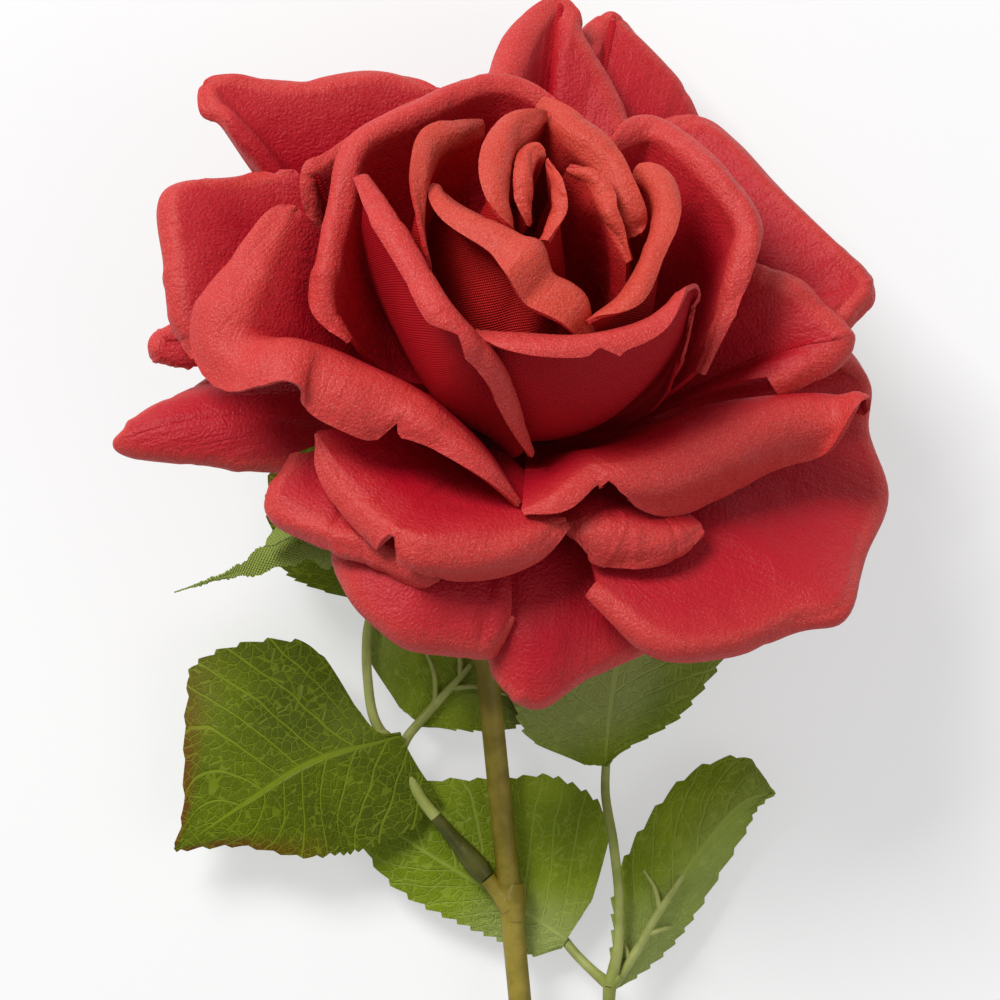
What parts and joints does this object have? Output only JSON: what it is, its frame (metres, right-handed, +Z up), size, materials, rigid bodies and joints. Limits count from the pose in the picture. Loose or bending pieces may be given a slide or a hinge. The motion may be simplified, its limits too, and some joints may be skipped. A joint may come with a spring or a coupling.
{
  "type": "artificial rose",
  "caption": "Open rose bloom of rolled-edge petals on a bent stem with sprays of serrated leaves, lying on its back.",
  "frame": {"origin": "middle of the object's footprint on the surface that it lies on", "axes": "+Z up from that surface; +Y from the stem's cut end towards the bloom; +X to the right, seen from above with the bloom at the far end"},
  "size_m": [0.131, 0.297, 0.0912],
  "materials": {
    "petals": "matte foam sheet, woven on its outer face",
    "inner_petals": "matte foam sheet, woven on its outer face",
    "bud": "matte",
    "sepals": "coarse weave",
    "stem": "satin",
    "petioles": "satin",
    "leaves": "printed cloth, satin"
  },
  "bodies": {
    "root": {"outer_petal_top_left": "petals", "outer_petal_left": "petals", "outer_petal_left_small": "petals", "outer_petal_left_long": "petals", "outer_petal_lower_left": "petals", "outer_petal_front": "petals", "outer_petal_bottom_left": "petals", "outer_petal_bottom": "petals", "outer_petal_lower_right": "petals", "outer_petal_lower_right_small": "petals", "outer_petal_right_long": "petals", "outer_petal_right": "petals", "outer_petal_top_right": "petals", "outer_petal_top_pointed_right": "petals", "outer_petal_top_pointed_left": "petals", "outer_petal_front_left": "petals", "guard_petal_right": "petals", "guard_petal_top_right": "petals", "guard_petal_top_left": "petals", "guard_petal_left": "petals", "cup_petal_back_left": "petals", "cup_petal_left": "petals", "cup_petal_right": "petals", "cup_petal_front_left": "petals", "cup_petal_front": "petals", "inner_petal_left": "inner_petals", "inner_petal_front": "inner_petals", "inner_petal_right": "inner_petals", "inner_petal_back": "inner_petals", "bud_petal_left": "inner_petals", "bud_petal_right": "inner_petals", "heart_petal_left": "inner_petals", "heart_petal_right": "inner_petals", "receptacle": "stem", "bud_core": "bud", "sepals": "sepals", "stem": "stem", "leaf_left_front": "leaves", "leaf_left_stem": "leaves", "leaf_left_top": "leaves", "leaf_right_stem": "leaves", "leaf_right_top": "leaves", "leaf_right_side": "leaves", "spray_left": "petioles", "spray_right": "petioles"}
  },
  "joints": []
}
